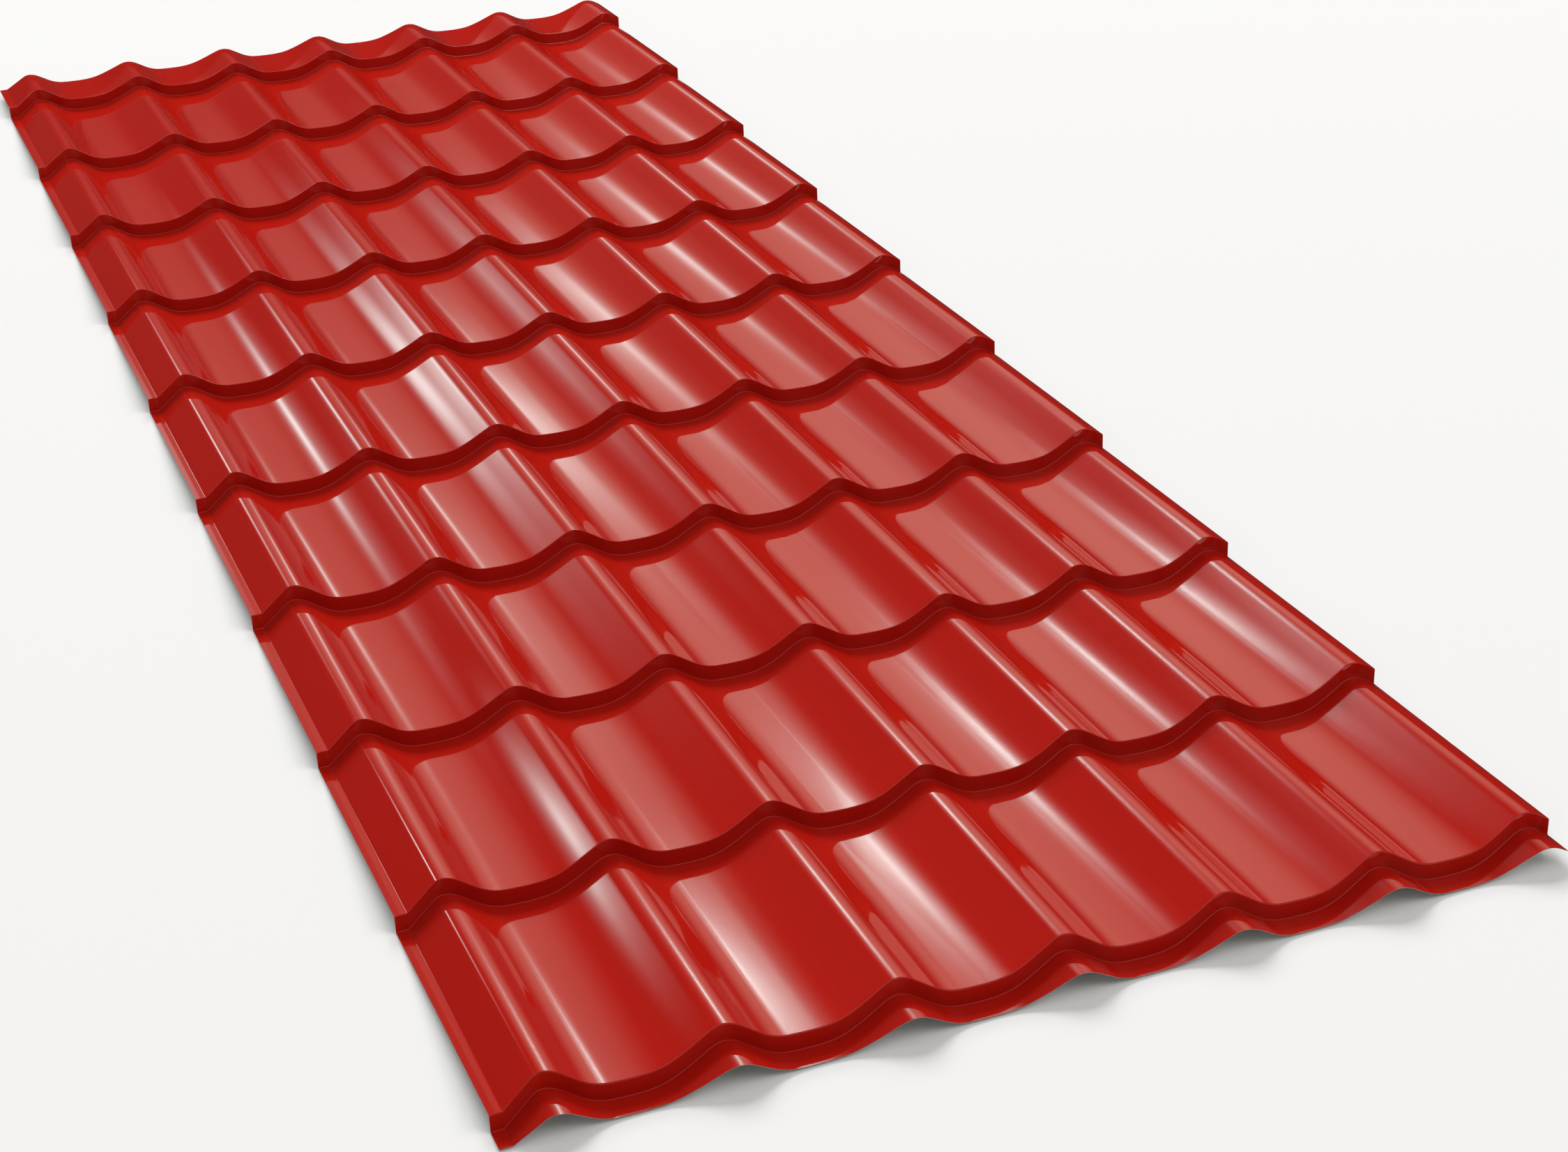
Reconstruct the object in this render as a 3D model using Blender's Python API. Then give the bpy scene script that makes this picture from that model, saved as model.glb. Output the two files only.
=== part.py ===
"""Metal roof tile sheet: one pressed steel sheet with seven crests and ten steps.

The sheet lies level, its eave end towards -Y and its ridge end towards +Y. X runs across the
waves. The origin is under the middle of the sheet, on the plane that its lowest folds rest on.

The form is one cross profile carried down the sheet by a stepped profile. The cross profile is a
row of skew waves made of arcs and straight flanks. The stepped profile climbs a little towards
the eave along each tile row and then drops over a riser. The folds of a riser follow the wave in
height, and in plan too: at a crest they lie further up the sheet than in a valley. Both ends of
the sheet are cut square.
"""

from math import cos, radians, sin, sqrt, tan

import bmesh
import bpy
from mathutils import Vector

# Steel sheet, in metres like every length here
THICKNESS = 0.0005

# Waves, across the sheet
PITCH = 0.18333  # crest to crest
FULL_WAVES = 6  # between the first crest and the last
WAVE_HEIGHT = 0.0222
CREST_RADIUS = 0.034
FALL_ANGLE = radians(28.5)  # steep flank, on the +X side of a crest
FALL_RADIUS = 0.076  # where the steep flank runs out into the valley
CLIMB_ANGLE = radians(21)  # long flank, on the -X side of a crest
CLIMB_RADIUS = 0.160  # where the valley sweeps up into the long flank

# Long edges
LIP_CREST_RADIUS = 0.020  # -X side of the first crest, which turns straight down to the lip
LIP_FLANK_ANGLE = radians(30)
LIP_FOLD_RADIUS = 0.004
LIP_WIDTH = 0.0060  # level strip at the foot of that flank
LIP_TURN_WIDTH = 0.00655  # outermost strip, turned down to the level of the valleys
LIP_RISE = 0.0004  # how far the level strip lies over the valleys
OVERHANG = 0.0275  # from the last crest to the +X edge, down its steep flank

# Tile rows, down the sheet
ROWS = 10  # one riser each
ROW_LENGTH = 0.350
RISER_HEIGHT = 0.0200
RISER_LEAN = 0.0005  # how far the foot of a riser lies towards the eave from its top
CREST_SETBACK = 0.016  # how far a riser lies further up the sheet at a crest than in a valley
FOLD_RADIUS = 0.0012
RIDGE_PIECE = 0.117  # from the ridge cut to the first riser, along a crest
EAVE_PIECE = 0.046  # from the last riser to the eave cut, along a crest

# Chords that stand for an arc
ARC_CHORDS = 2


def flank(angle, crest_radius, foot_radius, drop, chords):
    """Line from a crest down to its foot: points (distance from the crest, height)."""
    straight = (drop - (crest_radius + foot_radius) * (1 - cos(angle))) / sin(angle)
    turn = angle / chords
    moves = [(2 * crest_radius * sin(turn / 2), (i + 0.5) * turn) for i in range(chords)]
    moves += [(straight, angle)]
    moves += [(2 * foot_radius * sin(turn / 2), angle - (i + 0.5) * turn) for i in range(chords)]
    points = [(0.0, WAVE_HEIGHT)]
    for length, slope in moves:
        distance, height = points[-1]
        points.append((distance + length * cos(slope), height - length * sin(slope)))
    return points


def lip():
    """Line from the first crest down to the lip and out to the -X edge."""
    points = flank(
        LIP_FLANK_ANGLE, LIP_CREST_RADIUS, LIP_FOLD_RADIUS, WAVE_HEIGHT - LIP_RISE, 1
    )
    points.append((points[-1][0] + LIP_WIDTH, LIP_RISE))
    points.append((points[-1][0] + sqrt(LIP_TURN_WIDTH**2 - LIP_RISE**2), 0.0))
    return points


def cut_at(points, reach):
    """The part of a line of (distance, height) points that lies within a distance."""
    kept = [point for point in points if point[0] < reach]
    if len(kept) == len(points):
        return kept + [(reach, points[-1][1])]
    (near, high), (far, low) = kept[-1], points[len(kept)]
    return kept + [(reach, high + (low - high) * (reach - near) / (far - near))]


def cross_profile():
    """(x, height over the valley) of each line that runs down the sheet, from -X to +X."""
    fall = flank(FALL_ANGLE, CREST_RADIUS, FALL_RADIUS, WAVE_HEIGHT, ARC_CHORDS)
    climb = flank(CLIMB_ANGLE, CREST_RADIUS, CLIMB_RADIUS, WAVE_HEIGHT, ARC_CHORDS)
    lines = [(-distance, height) for distance, height in reversed(lip())]
    for wave in range(FULL_WAVES):
        crest, next_crest = wave * PITCH, (wave + 1) * PITCH
        lines += [(crest + distance, height) for distance, height in fall[1:]]
        lines += [(next_crest - distance, height) for distance, height in reversed(climb)]
    last_crest = FULL_WAVES * PITCH
    lines += [(last_crest + distance, height) for distance, height in cut_at(fall, OVERHANG)[1:]]
    middle = (lines[0][0] + lines[-1][0]) / 2
    return [(x - middle, height) for x, height in lines]


LENGTH = RIDGE_PIECE + (ROWS - 1) * ROW_LENGTH + EAVE_PIECE
RISER = Vector((-RISER_LEAN, -RISER_HEIGHT))
TREAD = Vector((RISER_LEAN - ROW_LENGTH, RISER_HEIGHT))


def rounded(corner, before, after):
    """The two ends of the arc that rounds a corner between two directions."""
    reach = FOLD_RADIUS * tan(before.angle(after) / 2)
    return [corner - before.normalized() * reach, corner + after.normalized() * reach]


def stepped_profile():
    """(y, height) of the fold edges of every riser along a valley, from the ridge end."""
    edges = []
    for row in range(ROWS):
        y = LENGTH / 2 - RIDGE_PIECE - CREST_SETBACK - row * ROW_LENGTH
        nose = Vector((y, RISER_HEIGHT))
        edges += rounded(nose, TREAD, RISER)
        edges += rounded(nose + RISER, RISER, TREAD)
    return edges


def line_down_sheet(x, wave, edges):
    """Points of the sheet's upper face from the ridge cut to the eave cut, at one place across."""
    setback = CREST_SETBACK * wave / WAVE_HEIGHT
    lift = THICKNESS - min(height for _, height in edges)
    folds = [Vector((x, y + setback, height + wave + lift)) for y, height in edges]
    ridge, eave = folds[0].copy(), folds[-1].copy()
    for cut, y in ((ridge, LENGTH / 2), (eave, -LENGTH / 2)):
        cut.z += TREAD.y / TREAD.x * (y - cut.y)
        cut.y = y
    return [ridge, *folds, eave]


def red_paint():
    material = bpy.data.materials.new("glossy_red_paint")
    material.use_nodes = True
    shader = material.node_tree.nodes["Principled BSDF"]
    shader.inputs["Base Color"].default_value = (0.36, 0.012, 0.008, 1)
    shader.inputs["Roughness"].default_value = 0.15
    shader.inputs["Metallic"].default_value = 0.0
    return material


def roof_tile_sheet():
    edges = stepped_profile()
    bm = bmesh.new()
    grid = [
        [bm.verts.new(point) for point in line_down_sheet(x, wave, edges)]
        for x, wave in cross_profile()
    ]
    for left, right in zip(grid, grid[1:]):
        for i in range(len(left) - 1):
            bm.faces.new((left[i], left[i + 1], right[i + 1], right[i]))
    mesh = bpy.data.meshes.new("roof_tile_sheet")
    bm.to_mesh(mesh)
    bm.free()
    mesh.materials.append(red_paint())
    mesh.shade_smooth()
    mesh.set_sharp_from_angle(angle=radians(30))
    sheet = bpy.data.objects.new("roof_tile_sheet", mesh)
    bpy.context.collection.objects.link(sheet)
    steel = sheet.modifiers.new("Steel", "SOLIDIFY")
    steel.thickness = THICKNESS
    steel.offset = -1
    steel.use_even_offset = True
    return sheet


for old in list(bpy.data.objects):
    bpy.data.objects.remove(old, do_unlink=True)
roof_tile_sheet()
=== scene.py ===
"""Metal roof tile sheet, dressed for the camera.

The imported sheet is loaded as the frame. A finer sheet of the same sizes stands for it, with round
waves and folds, a gloss red top, a grey back and bare cut edges. Lengths are in metres. The sheet
lies level, eave end towards -Y and ridge end towards +Y, and X runs across the waves.
"""

from math import atan2, cos, radians, sin, sqrt, tan

import bpy
from mathutils import Matrix, Vector


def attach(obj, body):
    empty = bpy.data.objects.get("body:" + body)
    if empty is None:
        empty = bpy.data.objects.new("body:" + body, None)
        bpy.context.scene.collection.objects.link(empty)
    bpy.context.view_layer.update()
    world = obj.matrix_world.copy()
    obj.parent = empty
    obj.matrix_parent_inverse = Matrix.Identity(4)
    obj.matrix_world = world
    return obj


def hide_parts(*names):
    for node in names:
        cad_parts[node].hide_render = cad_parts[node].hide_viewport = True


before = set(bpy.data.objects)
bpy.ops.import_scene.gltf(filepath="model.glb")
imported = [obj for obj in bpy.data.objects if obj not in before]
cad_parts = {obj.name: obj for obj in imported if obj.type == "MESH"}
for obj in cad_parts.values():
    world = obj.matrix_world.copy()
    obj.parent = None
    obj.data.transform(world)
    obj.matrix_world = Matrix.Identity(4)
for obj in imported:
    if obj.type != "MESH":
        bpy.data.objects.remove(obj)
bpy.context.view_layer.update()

# Steel sheet
THICKNESS = 0.0005

# Waves, across the sheet
PITCH = 0.18333
FULL_WAVES = 6
WAVE_HEIGHT = 0.0222

# One rolled wave: distance past its crest in millimetres, slope in degrees. The slope changes
# evenly from one to the next, which makes an arc, and each arc eases into its neighbour.
WAVE_STATIONS = (
    (3.0, -5.7),
    (12.0, -19.6),
    (16.7, -27.9),
    (33.0, -28.8),
    (62.0, -2.8),
    (90.0, 0.0),
    (110.0, 6.1),
    (128.0, 15.9),
    (152.0, 20.9),
    (171.5, 20.2),
)
EASING = 3.0  # millimetres to either side over which one arc runs into the next
EASING_SAMPLES = 13
LINES_PER_WAVE = 58

# Long edges
LIP_CREST_RADIUS = 0.020
LIP_FLANK_ANGLE = radians(30)
LIP_FOLD_RADIUS = 0.004
LIP_WIDTH = 0.0060
LIP_TURN_WIDTH = 0.00655
LIP_RISE = 0.0004
LIP_TURN_ROUNDING = 0.0004  # to either side of the line where the outermost strip turns down
OVERHANG = 0.0275

# Tile rows, down the sheet
ROWS = 10
ROW_LENGTH = 0.350
RISER_HEIGHT = 0.0200
RISER_LEAN = 0.0005
CREST_SETBACK = 0.016
FOLD_RADIUS = 0.0012
RIDGE_PIECE = 0.117
EAVE_PIECE = 0.046

# Chords that stand for an arc
LIP_CHORDS = 6
FOLD_CHORDS = 5

# Camera, as it stood for the photograph
PHOTO_WIDTH = 2249
PHOTO_HEIGHT = 1652
CAMERA_PLACE = (-1.0605, -3.6969, 1.7198)
CAMERA_AZIMUTH = radians(22.056)  # from +Y towards +X
CAMERA_TILT = radians(-28.603)
CAMERA_ROLL = radians(-0.983)
FOCAL_PIXELS = 4062.4
CENTRE_PIXELS = (1214.05, 842.11)

# Finishes of the sheet: colour, change of tone, roughness, change of gloss, height of the peel
RED_TOP = ((0.460, 0.0100, 0.0050), 0.04, 0.052, 0.012, 0.000001)
GREY_BACK = ((0.42, 0.43, 0.43), 0.08, 0.42, 0.08, 0.000004)
# Patches of the coating: how many to a metre, and how many finer layers lie in them
SLOW_PATCHES = (2.5, 3)
FINE_PATCHES = (60, 2)
PEEL_PATCHES = (420, 1)

# Sheared edges, with patches in their drag lines as in the coating
DRAG_LINES = (900, 2)
DULL_STEEL = (0.20, 0.19, 0.19, 1)
BRIGHT_STEEL = (0.42, 0.41, 0.40, 1)
STEEL_ROUGHNESS = (0.35, 0.55)

# Floor
FLOOR_HALF_SIDE = 120.0
FLOOR_LEVEL = -0.0003
FLOOR_SHADE = 0.92

# Lamps over the sheet, which light the sheet alone and leave the floor even
LAMP_REACH = 4.0  # edge of a lamp's panel, in half lengths and half widths
LAMP_FADE = 0.4  # share of that reach from which a lamp fades out towards its edge
LAMP_HEIGHT = 1.796
LAMP_TINT = (0.72, 1.0, 0.97)
# Name, place over the floor, half length, half width, turn from +X, brightness
LAMPS = (
    ("near_right_lamp", (1.005, 1.630), 0.530, 0.155, 68.4, 12.5),
    ("far_right_lamp", (1.577, 5.479), 1.398, 0.178, 74.3, 3.0),
    ("far_left_lamp", (-0.522, 4.736), 0.820, 0.165, 87.7, 5.6),
    ("near_left_lamp", (-1.149, 2.094), 0.285, 0.088, 94.3, 12.0),
)

# Large lights far off, which only the matt part of the paint shows: name, azimuth from +Y
# towards +X, elevation, width, height, power
LIGHT_DISTANCE = 50.0
LARGE_LIGHTS = (
    ("ridge_light", 4.0, 34.0, 37.0, 25.0, 24000.0),
    ("side_light", 122.0, 40.0, 34.0, 17.0, 6700.0),
)

# Low dark cards beside the sheet, which its flanks reflect in place of the pale floor: name, ends
CARD_HEIGHT = 0.055
CARD_SHADE = 0.05
DARK_CARDS = (
    ("ridge_card", (-0.75, 1.700), (1.20, 1.700)),
    ("side_card", (0.625, -1.75), (0.625, 1.95)),
)

# Walls and ceiling of the studio: brightness, and elevations in degrees
WALL_LIGHT = 0.05
HORIZON_LIGHT = 0.08
HORIZON_HEIGHT = 0.10  # sine of the elevation at which the light of the horizon ends
CEILING_LIGHT = 0.65
CEILING_START = 42
CEILING_FULL = 75
# Soft glows on the walls: azimuth from +Y towards +X, elevation, half width and half height in
# degrees, brightness
GLOW_TINT = (1.08, 1.0, 0.82)
GLOW_REACH = 1.6  # edge of a glow, in half widths and half heights
GLOW_FRONT = 0.3  # cosine past which a direction is wholly on the glow's own side
GLOWS = (
    (27.5, 24.0, 18.5, 12.5, 0.96),
    (90.0, 26.0, 13.0, 13.0, 0.85),
    (142.0, 24.0, 18.5, 12.5, 0.90),
    (200.0, 26.0, 17.0, 13.0, 0.90),
    (246.0, 24.0, 17.0, 12.5, 0.85),
    (290.0, 26.0, 12.0, 13.0, 0.70),
)


def flank(angle, crest_radius, foot_radius, drop, chords):
    """Line from a crest down to its foot: points (distance from the crest, height, slope down)."""
    straight = (drop - (crest_radius + foot_radius) * (1 - cos(angle))) / sin(angle)
    turn = angle / chords
    points = [
        (crest_radius * sin(i * turn), WAVE_HEIGHT - crest_radius * (1 - cos(i * turn)), i * turn)
        for i in range(chords + 1)
    ]
    distance, height, _ = points[-1]
    distance += straight * cos(angle) + foot_radius * sin(angle)
    height -= straight * sin(angle) + foot_radius * (1 - cos(angle))
    for i in range(chords, -1, -1):
        lean = i * turn
        points.append(
            (distance - foot_radius * sin(lean), height + foot_radius * (1 - cos(lean)), lean)
        )
    return points


def lip():
    """Line from the first crest down to the lip and out to the -X edge."""
    points = flank(
        LIP_FLANK_ANGLE,
        LIP_CREST_RADIUS,
        LIP_FOLD_RADIUS,
        WAVE_HEIGHT - LIP_RISE,
        LIP_CHORDS,
    )
    fold, height, _ = points[-1]
    fold += LIP_WIDTH
    lean = atan2(LIP_RISE, sqrt(LIP_TURN_WIDTH**2 - LIP_RISE**2))
    near, rounding = fold - LIP_TURN_ROUNDING, LIP_TURN_ROUNDING
    points.append((near, height, 0.0))
    points.append((fold + rounding * cos(lean), height - rounding * sin(lean), lean))
    points.append((fold + LIP_TURN_WIDTH * cos(lean), 0.0, lean))
    return points


def lean_at(x):
    """Slope of the arcs in degrees, at a distance past a crest in millimetres."""
    pitch = PITCH * 1000
    (first, first_lean), (last, last_lean) = WAVE_STATIONS[0], WAVE_STATIONS[-1]
    stations = [(last - pitch, last_lean), *WAVE_STATIONS, (first + pitch, first_lean)]
    x %= pitch
    for (near, near_lean), (far, far_lean) in zip(stations, stations[1:]):
        if x <= far:
            return near_lean + (far_lean - near_lean) * (x - near) / (far - near)
    return first_lean


def eased_lean(x):
    """Mean slope over the easing length to either side of a place."""
    steps = range(EASING_SAMPLES)
    return sum(lean_at(x + EASING * (2 * i / (EASING_SAMPLES - 1) - 1)) for i in steps) / len(steps)


def wave():
    """One wave from its crest on: (distance past the crest, height, slope) of each line."""
    spacing = PITCH / LINES_PER_WAVE
    lines = [
        (i * spacing, tan(radians(eased_lean(i * spacing * 1000)))) for i in range(LINES_PER_WAVE)
    ]
    lines.append((PITCH, lines[0][1]))
    heights = [0.0]
    for (x0, slope0), (x1, slope1) in zip(lines, lines[1:]):
        heights.append(heights[-1] + (slope0 + slope1) / 2 * (x1 - x0))
    drift = heights[-1] / PITCH
    heights = [height - drift * x for height, (x, _) in zip(heights, lines)]
    low, high = min(heights), max(heights)
    scale = WAVE_HEIGHT / (high - low)
    return [
        (x, (height - low) * scale, (slope - drift) * scale)
        for height, (x, slope) in zip(heights, lines)
    ]


def cut_at(lines, reach):
    """The part of a line of (distance, height, slope) points that lies within a distance."""
    kept = [line for line in lines if line[0] < reach]
    before, after = kept[-1], lines[len(kept)]
    share = (reach - before[0]) / (after[0] - before[0])
    return kept + [tuple(a + (b - a) * share for a, b in zip(before, after))]


def cross_profile():
    """(x, height over the valley, slope dz/dx) of each line down the sheet, from -X to +X."""
    lines = [(-distance, height, tan(lean)) for distance, height, lean in reversed(lip())]
    one = wave()
    for number in range(FULL_WAVES):
        lines += [(number * PITCH + x, height, slope) for x, height, slope in one[1:]]
    crest = FULL_WAVES * PITCH
    lines += [(crest + x, height, slope) for x, height, slope in cut_at(one, OVERHANG)[1:]]
    middle = (lines[0][0] + lines[-1][0]) / 2
    return [(x - middle, height, slope) for x, height, slope in lines]


LENGTH = RIDGE_PIECE + (ROWS - 1) * ROW_LENGTH + EAVE_PIECE
RISER = Vector((-RISER_LEAN, -RISER_HEIGHT))
TREAD = Vector((RISER_LEAN - ROW_LENGTH, RISER_HEIGHT))


def round_fold(corner, before, after):
    """Points (y, height) and directions along the arc that rounds a corner."""
    before, after = before.normalized(), after.normalized()
    bend = before.angle(after)
    reach = FOLD_RADIUS * tan(bend / 2)
    side = 1 if before.x * after.y - before.y * after.x > 0 else -1
    start = corner - before * reach
    inward = Vector((-before.y, before.x)) * side
    points = []
    for i in range(FOLD_CHORDS + 1):
        turn = bend * i / FOLD_CHORDS
        place = start + before * FOLD_RADIUS * sin(turn) + inward * FOLD_RADIUS * (1 - cos(turn))
        points.append((place, before * cos(turn) + inward * sin(turn)))
    return points


def stepped_profile():
    """(y, height) and direction of each line across the sheet, along a valley, from the ridge end."""
    points = []
    for row in range(ROWS):
        y = LENGTH / 2 - RIDGE_PIECE - CREST_SETBACK - row * ROW_LENGTH
        nose = Vector((y, RISER_HEIGHT))
        points += round_fold(nose, TREAD, RISER)
        points += round_fold(nose + RISER, RISER, TREAD)
    return points


def sheet_grid():
    """Rows of (point, normal) of the upper face: one row for each line down the sheet."""
    steps = stepped_profile()
    lift = THICKNESS - min(place.y for place, _ in steps)
    climb = TREAD.y / TREAD.x
    grid = []
    for x, wave, slope in cross_profile():
        setback = CREST_SETBACK * wave / WAVE_HEIGHT
        across = Vector((1, CREST_SETBACK / WAVE_HEIGHT * slope, slope))
        line = []
        for place, heading in steps:
            point = Vector((x, place.x + setback, place.y + wave + lift))
            normal = Vector((0, heading.x, heading.y)).cross(across)
            line.append((point, normal.normalized()))
        for end, y in ((0, LENGTH / 2), (-1, -LENGTH / 2)):
            point, normal = line[end]
            cut = (Vector((x, y, point.z + climb * (y - point.y))), normal)
            if end == 0:
                line.insert(0, cut)
            else:
                line.append(cut)
        grid.append(line)
    return grid


def back_of(upper, normals, across, along):
    """Points of the back, one steel thickness under the upper face and cut square with it."""
    lower = [point - normal * THICKNESS for point, normal in zip(upper, normals)]
    for i in range(across):
        for j in (0, along - 1):
            lower[i * along + j].y = upper[i * along + j].y
    for j in range(along):
        for i in (0, across - 1):
            lower[i * along + j].x = upper[i * along + j].x
    return lower


def rim_of(across, along):
    """Pairs of neighbouring points round the four cut edges."""
    last = across - 1
    rim = [(i * along, (i + 1) * along) for i in range(last)]
    rim += [(last * along + j, last * along + j + 1) for j in range(along - 1)]
    rim += [((i + 1) * along + along - 1, i * along + along - 1) for i in range(last)]
    rim += [(j + 1, j) for j in range(along - 1)]
    return rim


PAINT, BACK, EDGE = range(3)


def fine_sheet(paint, back, edge):
    """The sheet with its upper face, its back and its four cut edges."""
    grid = sheet_grid()
    across, along = len(grid), len(grid[0])
    upper = [point for line in grid for point, _ in line]
    normals = [normal for line in grid for _, normal in line]
    points = upper + back_of(upper, normals, across, along)
    count = len(upper)
    faces, finish, corners = [], [], []
    for i in range(across - 1):
        for j in range(along - 1):
            a, d = i * along + j, (i + 1) * along + j
            b, c = a + 1, d + 1
            faces += [(a, b, c, d), (d + count, c + count, b + count, a + count)]
            finish += [PAINT, BACK]
            corners += [normals[k] for k in (a, b, c, d)] + [-normals[k] for k in (d, c, b, a)]
    for a, b in rim_of(across, along):
        face = (a, b, b + count, a + count)
        outward = (points[b] - points[a]).cross(points[a + count] - points[a]).normalized()
        faces.append(face)
        finish.append(EDGE)
        corners += [outward] * 4
    mesh = bpy.data.meshes.new("pressed_sheet")
    mesh.from_pydata([tuple(p) for p in points], [], faces)
    for material in (paint, back, edge):
        mesh.materials.append(material)
    mesh.polygons.foreach_set("material_index", finish)
    mesh.shade_smooth()
    mesh.normals_split_custom_set([tuple(n) for n in corners])
    mesh.update()
    sheet = bpy.data.objects.new("pressed_sheet", mesh)
    bpy.context.scene.collection.objects.link(sheet)
    return sheet


def socket(group, name, kind, direction="INPUT", value=None):
    made = group.interface.new_socket(name=name, in_out=direction, socket_type=kind)
    if value is not None:
        made.default_value = value


def link(tree, source, target):
    tree.links.new(source, target)


def math_node(tree, operation, a, b=None):
    node = tree.nodes.new("ShaderNodeMath")
    node.operation = operation
    for index, value in enumerate((a, b)):
        if value is None:
            continue
        if isinstance(value, (int, float)):
            node.inputs[index].default_value = value
        else:
            link(tree, value, node.inputs[index])
    return node.outputs[0]


def coil_coating_group():
    """Baked coil coating: a faint orange peel, slow changes of tone and of gloss."""
    group = bpy.data.node_groups.new("coil_coating", "ShaderNodeTree")
    socket(group, "Colour", "NodeSocketColor", value=(0.8, 0.8, 0.8, 1))
    socket(group, "Tone Change", "NodeSocketFloat", value=0.05)
    socket(group, "Roughness", "NodeSocketFloat", value=0.2)
    socket(group, "Gloss Change", "NodeSocketFloat", value=0.03)
    socket(group, "Peel Height", "NodeSocketFloat", value=0.00001)
    socket(group, "Colour", "NodeSocketColor", "OUTPUT")
    socket(group, "Roughness", "NodeSocketFloat", "OUTPUT")
    socket(group, "Normal", "NodeSocketVector", "OUTPUT")
    inside = group.nodes.new("NodeGroupInput")
    outside = group.nodes.new("NodeGroupOutput")
    place = group.nodes.new("ShaderNodeTexCoord")

    def patches(scale, detail):
        node = group.nodes.new("ShaderNodeTexNoise")
        node.inputs["Scale"].default_value = scale
        node.inputs["Detail"].default_value = detail
        link(group, place.outputs["Object"], node.inputs["Vector"])
        return node.outputs["Fac"]

    slow = math_node(group, "SUBTRACT", patches(*SLOW_PATCHES), 0.5)
    fine = math_node(group, "SUBTRACT", patches(*FINE_PATCHES), 0.5)
    peel = patches(*PEEL_PATCHES)
    shade = math_node(
        group, "ADD", math_node(group, "MULTIPLY", slow, inside.outputs["Tone Change"]), 1.0
    )
    tone = group.nodes.new("ShaderNodeVectorMath")
    tone.operation = "SCALE"
    link(group, inside.outputs["Colour"], tone.inputs[0])
    link(group, shade, tone.inputs["Scale"])
    gloss = math_node(
        group,
        "ADD",
        math_node(
            group, "MULTIPLY", math_node(group, "ADD", slow, fine), inside.outputs["Gloss Change"]
        ),
        inside.outputs["Roughness"],
    )
    bump = group.nodes.new("ShaderNodeBump")
    bump.inputs["Strength"].default_value = 1.0
    link(group, inside.outputs["Peel Height"], bump.inputs["Distance"])
    link(group, peel, bump.inputs["Height"])
    link(group, tone.outputs[0], outside.inputs["Colour"])
    link(group, gloss, outside.inputs["Roughness"])
    link(group, bump.outputs[0], outside.inputs["Normal"])
    return group


def coated(name, coating, colour, tone, roughness, gloss, peel):
    """Coated steel with one of the finishes above."""
    material = bpy.data.materials.new(name)
    material.use_nodes = True
    tree = material.node_tree
    shader = tree.nodes["Principled BSDF"]
    coat = tree.nodes.new("ShaderNodeGroup")
    coat.node_tree = coating
    coat.inputs["Colour"].default_value = (*colour, 1)
    coat.inputs["Tone Change"].default_value = tone
    coat.inputs["Roughness"].default_value = roughness
    coat.inputs["Gloss Change"].default_value = gloss
    coat.inputs["Peel Height"].default_value = peel
    link(tree, coat.outputs["Colour"], shader.inputs["Base Color"])
    link(tree, coat.outputs["Roughness"], shader.inputs["Roughness"])
    link(tree, coat.outputs["Normal"], shader.inputs["Normal"])
    return material


def cut_steel():
    """Sheared edge: bright zinc over steel, with the drag lines of the shear."""
    material = bpy.data.materials.new("sheared_edge")
    material.use_nodes = True
    tree = material.node_tree
    shader = tree.nodes["Principled BSDF"]
    shader.inputs["Metallic"].default_value = 1.0
    place = tree.nodes.new("ShaderNodeTexCoord")
    drag = tree.nodes.new("ShaderNodeTexNoise")
    drag.inputs["Scale"].default_value, drag.inputs["Detail"].default_value = DRAG_LINES
    link(tree, place.outputs["Object"], drag.inputs["Vector"])
    ramp = tree.nodes.new("ShaderNodeValToRGB")
    ramp.color_ramp.elements[0].color = DULL_STEEL
    ramp.color_ramp.elements[1].color = BRIGHT_STEEL
    link(tree, drag.outputs["Fac"], ramp.inputs["Fac"])
    link(tree, ramp.outputs["Color"], shader.inputs["Base Color"])
    rough = tree.nodes.new("ShaderNodeMapRange")
    rough.inputs["To Min"].default_value = STEEL_ROUGHNESS[0]
    rough.inputs["To Max"].default_value = STEEL_ROUGHNESS[1]
    link(tree, drag.outputs["Fac"], rough.inputs["Value"])
    link(tree, rough.outputs["Result"], shader.inputs["Roughness"])
    return material


def matt(name, shade):
    """Plain grey without gloss."""
    material = bpy.data.materials.new(name)
    material.use_nodes = True
    shader = material.node_tree.nodes["Principled BSDF"]
    shader.inputs["Base Color"].default_value = (shade, shade, shade, 1)
    shader.inputs["Roughness"].default_value = 1.0
    shader.inputs["Specular IOR Level"].default_value = 0.0
    return material


def flat_face(name, corners, material):
    mesh = bpy.data.meshes.new(name)
    mesh.from_pydata(corners, [], [(0, 1, 2, 3)])
    mesh.materials.append(material)
    face = bpy.data.objects.new(name, mesh)
    bpy.context.scene.collection.objects.link(face)
    return face


def studio_floor():
    """Plain pale floor."""
    side, level = FLOOR_HALF_SIDE, FLOOR_LEVEL
    corners = [(-side, -side, level), (side, -side, level), (side, side, level), (-side, side, level)]
    floor = flat_face("studio_floor", corners, matt("pale_floor", FLOOR_SHADE))


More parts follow.
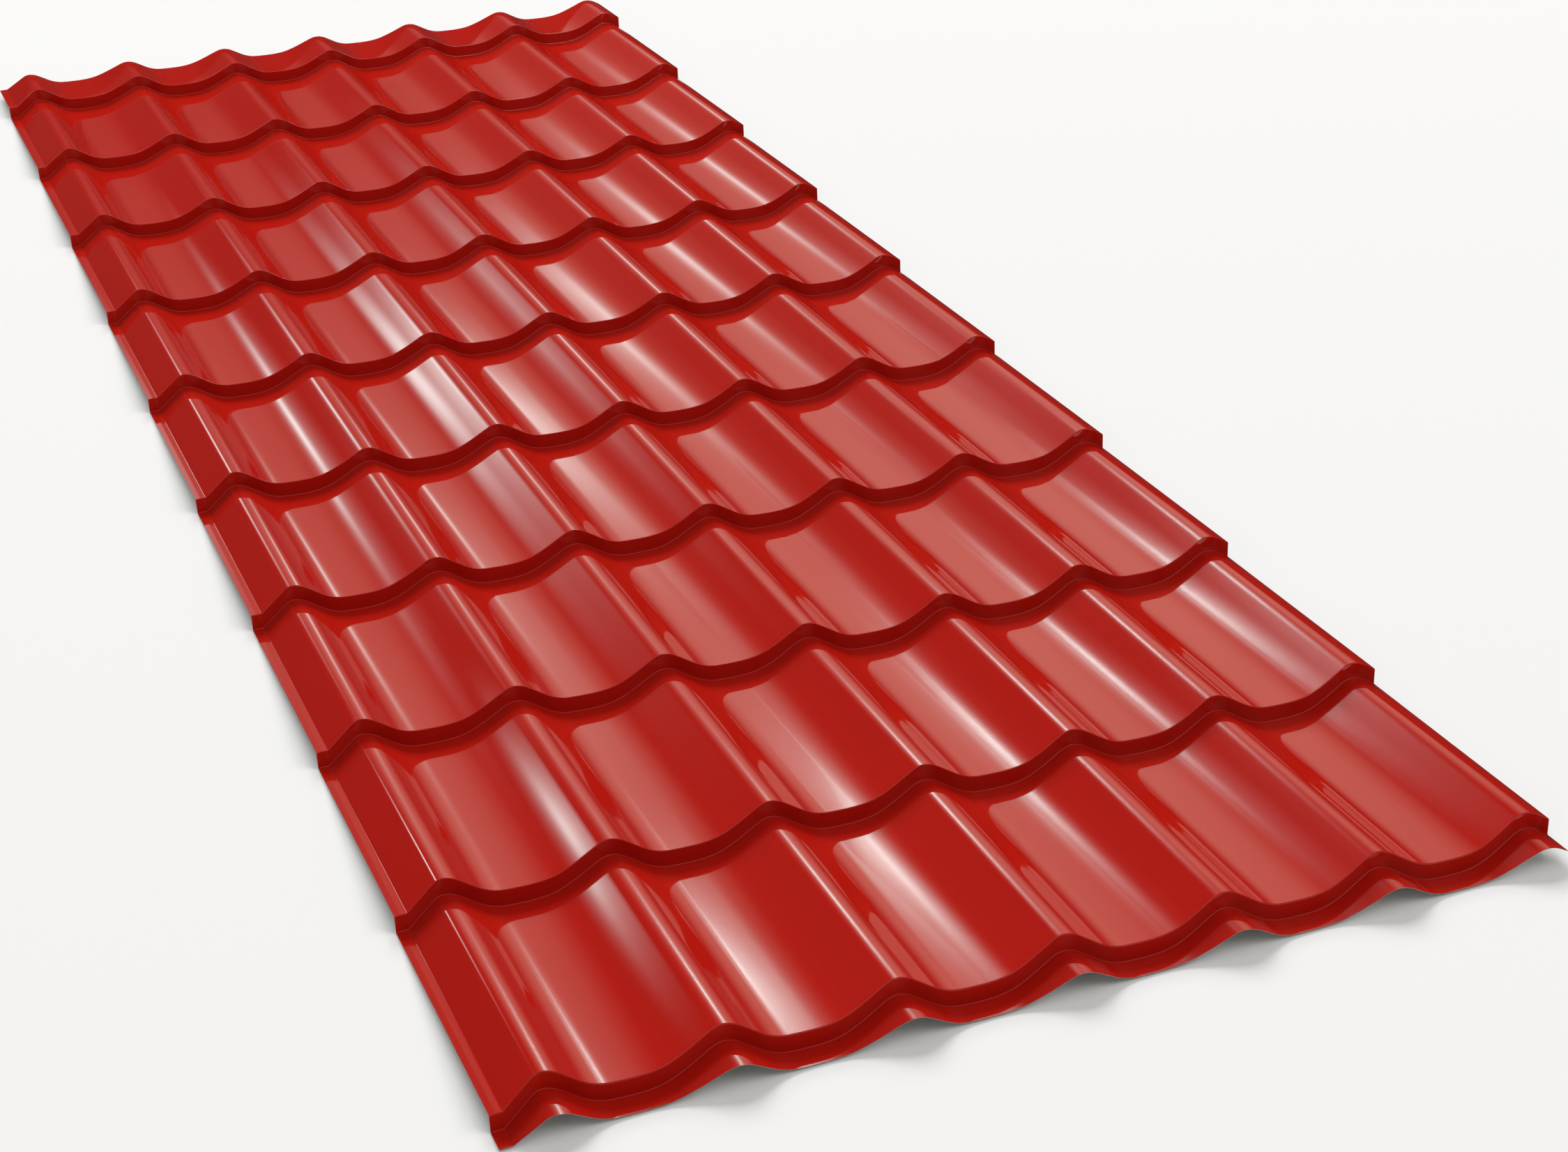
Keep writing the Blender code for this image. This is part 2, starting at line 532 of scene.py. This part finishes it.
def soft_lamp_group():
    """Brightness of a lamp behind a diffuser: full in the middle, fading to nothing at its rim."""
    group = bpy.data.node_groups.new("diffuser_falloff", "ShaderNodeTree")
    socket(group, "Half Length", "NodeSocketFloat", value=1.0)
    socket(group, "Half Width", "NodeSocketFloat", value=1.0)
    socket(group, "Brightness", "NodeSocketFloat", value=1.0)
    socket(group, "Brightness", "NodeSocketFloat", "OUTPUT")
    inside = group.nodes.new("NodeGroupInput")
    outside = group.nodes.new("NodeGroupOutput")
    place = group.nodes.new("ShaderNodeTexCoord")
    split = group.nodes.new("ShaderNodeSeparateXYZ")
    link(group, place.outputs["Object"], split.inputs[0])
    along = math_node(group, "DIVIDE", split.outputs["X"], inside.outputs["Half Length"])
    across = math_node(group, "DIVIDE", split.outputs["Y"], inside.outputs["Half Width"])
    distance = math_node(
        group,
        "ADD",
        math_node(group, "MULTIPLY", along, along),
        math_node(group, "MULTIPLY", across, across),
    )
    spread = math_node(group, "ADD", math_node(group, "MULTIPLY", distance, 0.5), 1.0)
    core = math_node(group, "DIVIDE", 1.0, math_node(group, "MULTIPLY", spread, spread))
    rim = group.nodes.new("ShaderNodeMapRange")
    rim.interpolation_type = "SMOOTHSTEP"
    rim.inputs["From Min"].default_value = (LAMP_FADE * LAMP_REACH) ** 2
    rim.inputs["From Max"].default_value = LAMP_REACH**2
    rim.inputs["To Min"].default_value = 1.0
    rim.inputs["To Max"].default_value = 0.0
    link(group, distance, rim.inputs["Value"])
    bright = math_node(group, "MULTIPLY", core, rim.outputs["Result"])
    bright = math_node(group, "MULTIPLY", bright, inside.outputs["Brightness"])
    link(group, bright, outside.inputs["Brightness"])
    return group


def diffuser(name, falloff, half_length, half_width, brightness):
    """Glow of a lamp's diffuser, clear where it gives no light."""
    material = bpy.data.materials.new(name)
    material.use_nodes = True
    tree = material.node_tree
    tree.nodes.remove(tree.nodes["Principled BSDF"])
    glow = tree.nodes.new("ShaderNodeEmission")
    glow.inputs["Color"].default_value = (*LAMP_TINT, 1)
    clear = tree.nodes.new("ShaderNodeBsdfTransparent")
    both = tree.nodes.new("ShaderNodeAddShader")
    shape = tree.nodes.new("ShaderNodeGroup")
    shape.node_tree = falloff
    shape.inputs["Half Length"].default_value = half_length
    shape.inputs["Half Width"].default_value = half_width
    shape.inputs["Brightness"].default_value = brightness
    link(tree, shape.outputs["Brightness"], glow.inputs["Strength"])
    link(tree, glow.outputs[0], both.inputs[0])
    link(tree, clear.outputs[0], both.inputs[1])
    link(tree, both.outputs[0], tree.nodes["Material Output"].inputs["Surface"])
    return material


def soft_lamp(falloff, lit, name, place, half_length, half_width, turn, brightness):
    """Lamp over the sheet, which lights the lit collection alone."""
    x, y = LAMP_REACH * half_length, LAMP_REACH * half_width
    glow = diffuser(name, falloff, half_length, half_width, brightness)
    lamp = flat_face(name, [(-x, -y, 0), (-x, y, 0), (x, y, 0), (x, -y, 0)], glow)
    lamp.location = (*place, LAMP_HEIGHT)
    lamp.rotation_euler = (0, 0, radians(turn))
    lamp.visible_camera = False
    lamp.visible_shadow = False
    lamp.light_linking.receiver_collection = lit


def large_light(name, azimuth, elevation, width, height, power):
    azimuth, elevation = radians(azimuth), radians(elevation)
    towards = Vector(
        (sin(azimuth) * cos(elevation), cos(azimuth) * cos(elevation), sin(elevation))
    )
    data = bpy.data.lights.new(name, "AREA")
    data.shape = "RECTANGLE"
    data.size = width
    data.size_y = height
    data.energy = power
    light = bpy.data.objects.new(name, data)
    light.location = towards * LIGHT_DISTANCE
    light.rotation_euler = towards.to_track_quat("Z", "Y").to_euler()
    light.visible_camera = False
    light.visible_glossy = False
    bpy.context.scene.collection.objects.link(light)


def dark_card(name, start, end):
    """Upright card that is seen in reflections alone."""
    corners = [(*start, 0.0), (*end, 0.0), (*end, CARD_HEIGHT), (*start, CARD_HEIGHT)]
    card = flat_face(name, corners, matt(name, CARD_SHADE))
    card.visible_camera = False
    card.visible_diffuse = False
    card.visible_shadow = False


def studio_world():
    """Dark walls with soft glows all round, and a dim ceiling."""
    world = bpy.data.worlds.new("studio")
    world.use_nodes = True
    bpy.context.scene.world = world
    tree = world.node_tree
    place = tree.nodes.new("ShaderNodeTexCoord")
    direction = place.outputs["Generated"]
    split = tree.nodes.new("ShaderNodeSeparateXYZ")
    link(tree, direction, split.inputs[0])

    def ramp(value, low, high, at_low, at_high):
        node = tree.nodes.new("ShaderNodeMapRange")
        node.interpolation_type = "SMOOTHSTEP"
        for name, number in (
            ("From Min", low), ("From Max", high), ("To Min", at_low), ("To Max", at_high)
        ):
            node.inputs[name].default_value = number
        link(tree, value, node.inputs["Value"])
        return node.outputs["Result"]

    def along(vector):
        node = tree.nodes.new("ShaderNodeVectorMath")
        node.operation = "DOT_PRODUCT"
        link(tree, direction, node.inputs[0])
        node.inputs[1].default_value = vector
        return node.outputs["Value"]

    def tinted(value, tint):
        node = tree.nodes.new("ShaderNodeVectorMath")
        node.operation = "SCALE"
        node.inputs[0].default_value = tint
        link(tree, value, node.inputs["Scale"])
        return node.outputs[0]

    height = split.outputs["Z"]
    low, high = sin(radians(CEILING_START)), sin(radians(CEILING_FULL))
    plain = ramp(height, low, high, 0.0, CEILING_LIGHT)
    plain = math_node(
        tree, "ADD", plain, ramp(height, 0.0, HORIZON_HEIGHT, HORIZON_LIGHT, 0.0)
    )
    plain = math_node(tree, "ADD", plain, WALL_LIGHT)
    glow = None
    for azimuth, elevation, half_width, half_height, brightness in GLOWS:
        a, e = radians(azimuth), radians(elevation)
        centre = (sin(a) * cos(e), cos(a) * cos(e), sin(e))
        right = (cos(a), -sin(a), 0)
        up = (-sin(a) * sin(e), -cos(a) * sin(e), cos(e))
        sideways = math_node(tree, "DIVIDE", along(right), sin(radians(half_width)))
        upward = math_node(tree, "DIVIDE", along(up), sin(radians(half_height)))
        distance = math_node(
            tree,
            "SQRT",
            math_node(
                tree,
                "ADD",
                math_node(tree, "MULTIPLY", sideways, sideways),
                math_node(tree, "MULTIPLY", upward, upward),
            ),
        )
        box = ramp(distance, 0.0, GLOW_REACH, brightness, 0.0)
        front = ramp(along(centre), 0.0, GLOW_FRONT, 0.0, 1.0)
        patch = math_node(tree, "MULTIPLY", box, front)
        glow = patch if glow is None else math_node(tree, "ADD", glow, patch)
    both = tree.nodes.new("ShaderNodeVectorMath")
    both.operation = "ADD"
    link(tree, tinted(plain, (1, 1, 1)), both.inputs[0])
    link(tree, tinted(glow, GLOW_TINT), both.inputs[1])
    background = tree.nodes["Background"]
    background.inputs["Strength"].default_value = 1.0
    link(tree, both.outputs[0], background.inputs["Color"])


def photo_camera():
    """Camera at the place, and with the framing, that the photograph gives."""
    azimuth, tilt = CAMERA_AZIMUTH, CAMERA_TILT
    forward = Vector((sin(azimuth) * cos(tilt), cos(azimuth) * cos(tilt), sin(tilt)))
    level = forward.cross(Vector((0, 0, 1))).normalized()
    upright = level.cross(forward)
    right = level * cos(CAMERA_ROLL) + upright * sin(CAMERA_ROLL)
    up = right.cross(forward)
    turned = Matrix((right, up, -forward)).transposed()
    data = bpy.data.cameras.new("photo_camera")
    camera = bpy.data.objects.new("photo_camera", data)
    bpy.context.scene.collection.objects.link(camera)
    camera.matrix_world = Matrix.Translation(CAMERA_PLACE) @ turned.to_4x4()
    data.sensor_fit = "HORIZONTAL"
    data.sensor_width = 36.0
    data.lens = FOCAL_PIXELS / PHOTO_WIDTH * data.sensor_width
    data.shift_x = (PHOTO_WIDTH / 2 - CENTRE_PIXELS[0]) / PHOTO_WIDTH
    data.shift_y = (CENTRE_PIXELS[1] - PHOTO_HEIGHT / 2) / PHOTO_WIDTH
    data.clip_start = 0.05
    data.clip_end = 500.0
    bpy.context.scene.camera = camera


photo_camera()
coating = coil_coating_group()
sheet = fine_sheet(
    coated("gloss_red_paint", coating, *RED_TOP),
    coated("grey_back_coat", coating, *GREY_BACK),
    cut_steel(),
)
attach(sheet, "root")
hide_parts("roof_tile_sheet")
studio_floor()
falloff = soft_lamp_group()
lit_by_lamps = bpy.data.collections.new("lit_by_lamps")
lit_by_lamps.objects.link(sheet)
for lamp in LAMPS:
    soft_lamp(falloff, lit_by_lamps, *lamp)
for light in LARGE_LIGHTS:
    large_light(*light)
for card in DARK_CARDS:
    dark_card(*card)
studio_world()
bpy.context.scene.view_settings.view_transform = "Standard"
